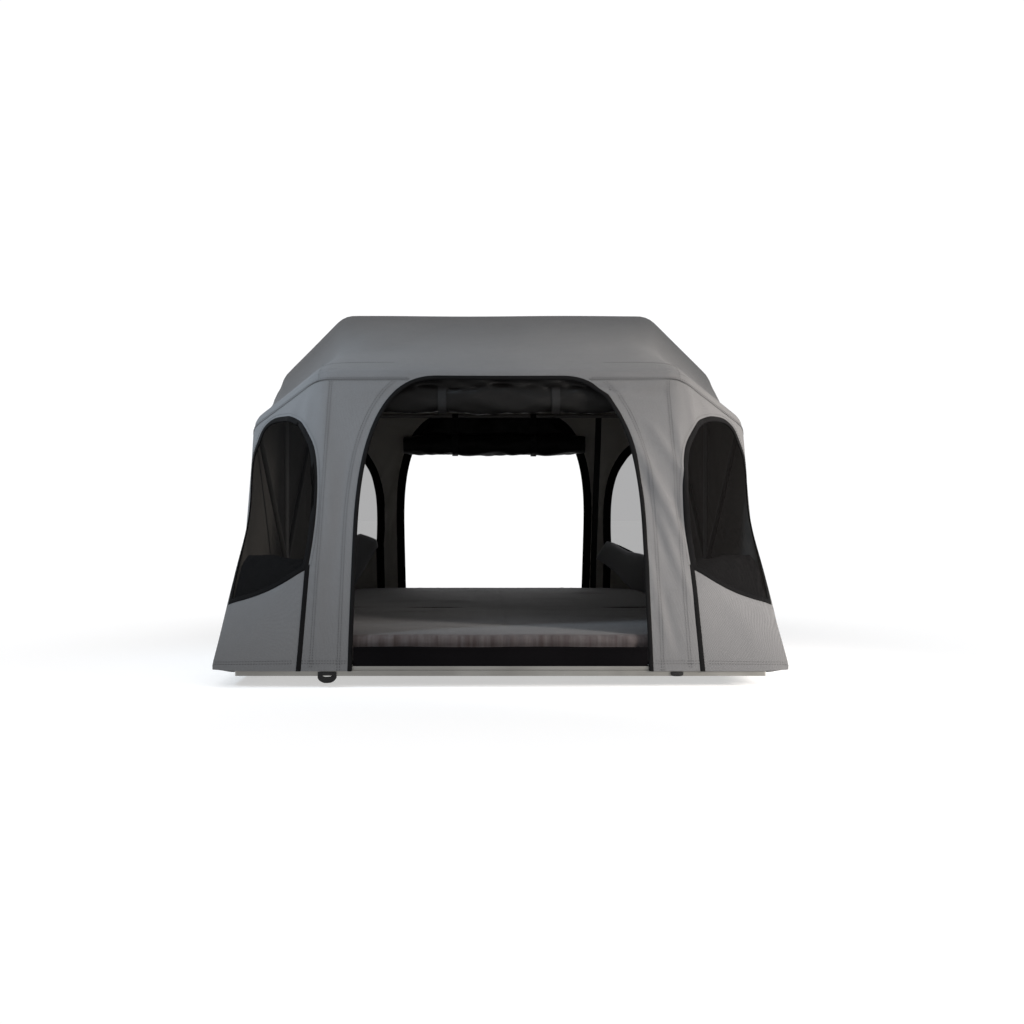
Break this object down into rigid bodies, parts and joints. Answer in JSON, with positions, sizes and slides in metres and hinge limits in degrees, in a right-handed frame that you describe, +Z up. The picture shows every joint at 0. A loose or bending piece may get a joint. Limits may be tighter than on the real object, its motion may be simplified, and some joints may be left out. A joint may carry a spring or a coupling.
{
  "type": "roof top tent",
  "caption": "Fold-out soft roof top tent with a hinged two-part base, fanning tube bows, arched end doors, mesh corner windows and a split mattress.",
  "frame": {"origin": "centre of the base on the plane under the mounting rails", "axes": "+X across the base, -Y out of the front door, +Y out of the rear door over the mounted half, +Z up"},
  "size_m": [1.6, 2.411, 1.1582],
  "materials": {
    "rail": "satin extruded",
    "panel": "satin sheet",
    "end_cap": "matte",
    "mount_rail": "satin extruded",
    "steel": "zinc plated",
    "hinge_plate": "satin cast",
    "mattress": "woven cover",
    "black_trim": "woven tape",
    "webbing": "woven webbing",
    "tube": "satin drawn tube",
    "bow_end": "matte moulded",
    "canopy": "coated canvas",
    "mesh": "fine insect mesh",
    "flap": "coated lining",
    "door_cloth": "rolled cloth"
  },
  "bodies": {
    "rear_base": {"rear_floor_panel": "panel", "rear_side_rail_left": "rail", "rear_side_rail_right": "rail", "rear_end_rail": "rail", "rear_hinge_rail": "rail", "rear_end_caps": "end_cap", "mounting_rail_left": "mount_rail", "mounting_rail_right": "mount_rail", "mounting_rail_bolts": "steel", "rear_hinge_plate_left": "hinge_plate", "rear_hinge_plate_right": "hinge_plate", "hinge_pins": "steel", "hinge_washers": "steel", "hinge_nuts": "steel", "rear_mattress": "mattress", "rear_door_sill": "black_trim", "rear_wall": "canopy", "rear_door_binding": "black_trim", "rear_left_corner": "canopy", "rear_right_corner": "canopy", "rear_left_window": "mesh", "rear_right_window": "mesh", "rear_window_bindings": "black_trim", "rear_window_flaps": "flap"},
    "front_base": {"front_floor_panel": "panel", "front_side_rail_left": "rail", "front_side_rail_right": "rail", "front_end_rail": "rail", "front_hinge_rail": "rail", "front_end_caps": "end_cap", "front_hinge_plate_left": "hinge_plate", "front_hinge_plate_right": "hinge_plate", "front_mattress": "mattress", "front_door_sill": "black_trim", "anchor_loop_left": "webbing", "anchor_loop_right": "webbing", "front_wall": "canopy", "front_door_binding": "black_trim", "front_left_corner": "canopy", "front_right_corner": "canopy", "front_left_window": "mesh", "front_right_window": "mesh", "front_window_bindings": "black_trim", "front_window_flaps": "flap"},
    "front_bow": {"front_bow_legs": "tube", "front_bow_hoop": "tube", "front_bow_ends": "bow_end", "front_door_roll": "door_cloth", "front_roll_straps": "webbing"},
    "mid_bow": {"mid_bow_legs": "tube", "mid_bow_hoop": "tube", "mid_bow_ends": "bow_end", "roof": "canopy", "side_wall_left": "canopy", "side_wall_right": "canopy"},
    "rear_bow": {"rear_bow_legs": "tube", "rear_bow_hoop": "tube", "rear_bow_ends": "bow_end", "rear_door_roll": "door_cloth", "rear_roll_straps": "webbing"}
  },
  "joints": [
    {"name": "base_fold", "type": "hinge", "parent": "rear_base", "child": "front_base", "pos_m": [0, 0, 0.182], "axis": [-1, 0, 0], "range_deg": [0, 179.5], "deforming": ["roof", "side_wall_left", "side_wall_right", "front_wall", "rear_wall", "front_left_corner", "front_right_corner", "rear_left_corner", "rear_right_corner", "front_left_window", "front_right_window", "rear_left_window", "rear_right_window", "front_window_bindings", "rear_window_bindings", "front_window_flaps", "rear_window_flaps", "front_door_binding", "rear_door_binding", "front_door_roll", "rear_door_roll", "front_roll_straps", "rear_roll_straps"]},
    {"name": "front_bow_turn", "type": "hinge", "parent": "rear_base", "child": "front_bow", "pos_m": [0, 0, 0.182], "axis": [-1, 0, 0], "range_deg": [0, 139.61]},
    {"name": "mid_bow_turn", "type": "hinge", "parent": "rear_base", "child": "mid_bow", "pos_m": [0, 0, 0.182], "axis": [-1, 0, 0], "range_deg": [0, 89.75]},
    {"name": "rear_bow_turn", "type": "hinge", "parent": "rear_base", "child": "rear_bow", "pos_m": [0, 0, 0.182], "axis": [-1, 0, 0], "range_deg": [0, 39.89]}
  ],
  "couplings": [
    {"joint": "front_bow_turn", "follows": "base_fold", "ratio": 0.77778},
    {"joint": "mid_bow_turn", "follows": "base_fold", "ratio": 0.5},
    {"joint": "rear_bow_turn", "follows": "base_fold", "ratio": 0.22222}
  ]
}
